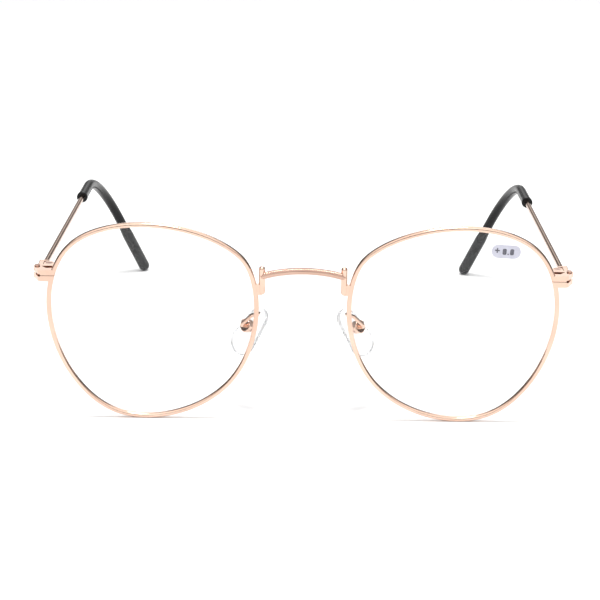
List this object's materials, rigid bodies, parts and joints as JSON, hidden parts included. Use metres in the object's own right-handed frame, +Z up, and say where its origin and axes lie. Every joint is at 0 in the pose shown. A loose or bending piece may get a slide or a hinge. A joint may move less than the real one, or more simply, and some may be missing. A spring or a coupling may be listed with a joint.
{
  "type": "reading glasses",
  "caption": "Round thin-rimmed metal reading glasses with clear lenses, adjustable nose pads and temples that fold behind the front",
  "frame": {"origin": "on the table under the middle of the open glasses' bounding box, which stand on the lower edges of both rims and on both temple tips", "axes": "+X to the wearer's left, +Y back along the open temples (the lenses face -Y), +Z up"},
  "size_m": [0.1304, 0.1362, 0.0508],
  "materials": {
    "rose_metal": "polished rose-gold plating",
    "lens": "clear, anti-reflection coated",
    "tip": "glossy black",
    "pad": "clear soft silicone",
    "pad_insert": "clear hard plastic",
    "screw": "plated steel",
    "label": "matt printed sticker"
  },
  "bodies": {
    "front": {"bridge": "rose_metal", "bridge_post_left": "rose_metal", "bridge_post_right": "rose_metal", "closing_block_lower_left": "rose_metal", "closing_block_lower_right": "rose_metal", "closing_block_upper_left": "rose_metal", "closing_block_upper_right": "rose_metal", "closing_screw_left": "screw", "closing_screw_right": "screw", "front_hinge_left": "rose_metal", "front_hinge_right": "rose_metal", "hinge_screw_left": "screw", "hinge_screw_right": "screw", "lens_label": "label", "lens_left": "lens", "lens_right": "lens", "pad_arm_left": "rose_metal", "pad_arm_right": "rose_metal", "pad_box_left": "rose_metal", "pad_box_right": "rose_metal", "pad_screw_left": "screw", "pad_screw_right": "screw", "rim_left": "rose_metal", "rim_right": "rose_metal"},
    "left_temple": {"temple_bar_left": "rose_metal", "temple_hinge_left": "rose_metal", "temple_tip_left": "tip"},
    "right_temple": {"temple_bar_right": "rose_metal", "temple_hinge_right": "rose_metal", "temple_tip_right": "tip"},
    "left_pad": {"nose_pad_left": "pad", "pad_insert_left": "pad_insert"},
    "right_pad": {"nose_pad_right": "pad", "pad_insert_right": "pad_insert"}
  },
  "joints": [
    {"name": "left_temple_fold", "type": "hinge", "parent": "front", "child": "left_temple", "pos_m": [0.0619, -0.05882, 0.03751], "axis": [0, -0.061, 0.9981], "range_deg": [0, 84]},
    {"name": "right_temple_fold", "type": "hinge", "parent": "front", "child": "right_temple", "pos_m": [-0.0619, -0.05882, 0.03751], "axis": [0, 0.061, -0.9981], "range_deg": [0, 78]},
    {"name": "left_pad_rock", "type": "hinge", "parent": "front", "child": "left_pad", "pos_m": [0.01358, -0.05715, 0.02249], "axis": [0.5171, 0.7628, 0.3882], "range_deg": [-8, 8]},
    {"name": "right_pad_rock", "type": "hinge", "parent": "front", "child": "right_pad", "pos_m": [-0.01358, -0.05715, 0.02249], "axis": [0.5171, -0.7628, -0.3882], "range_deg": [-8, 8]}
  ]
}
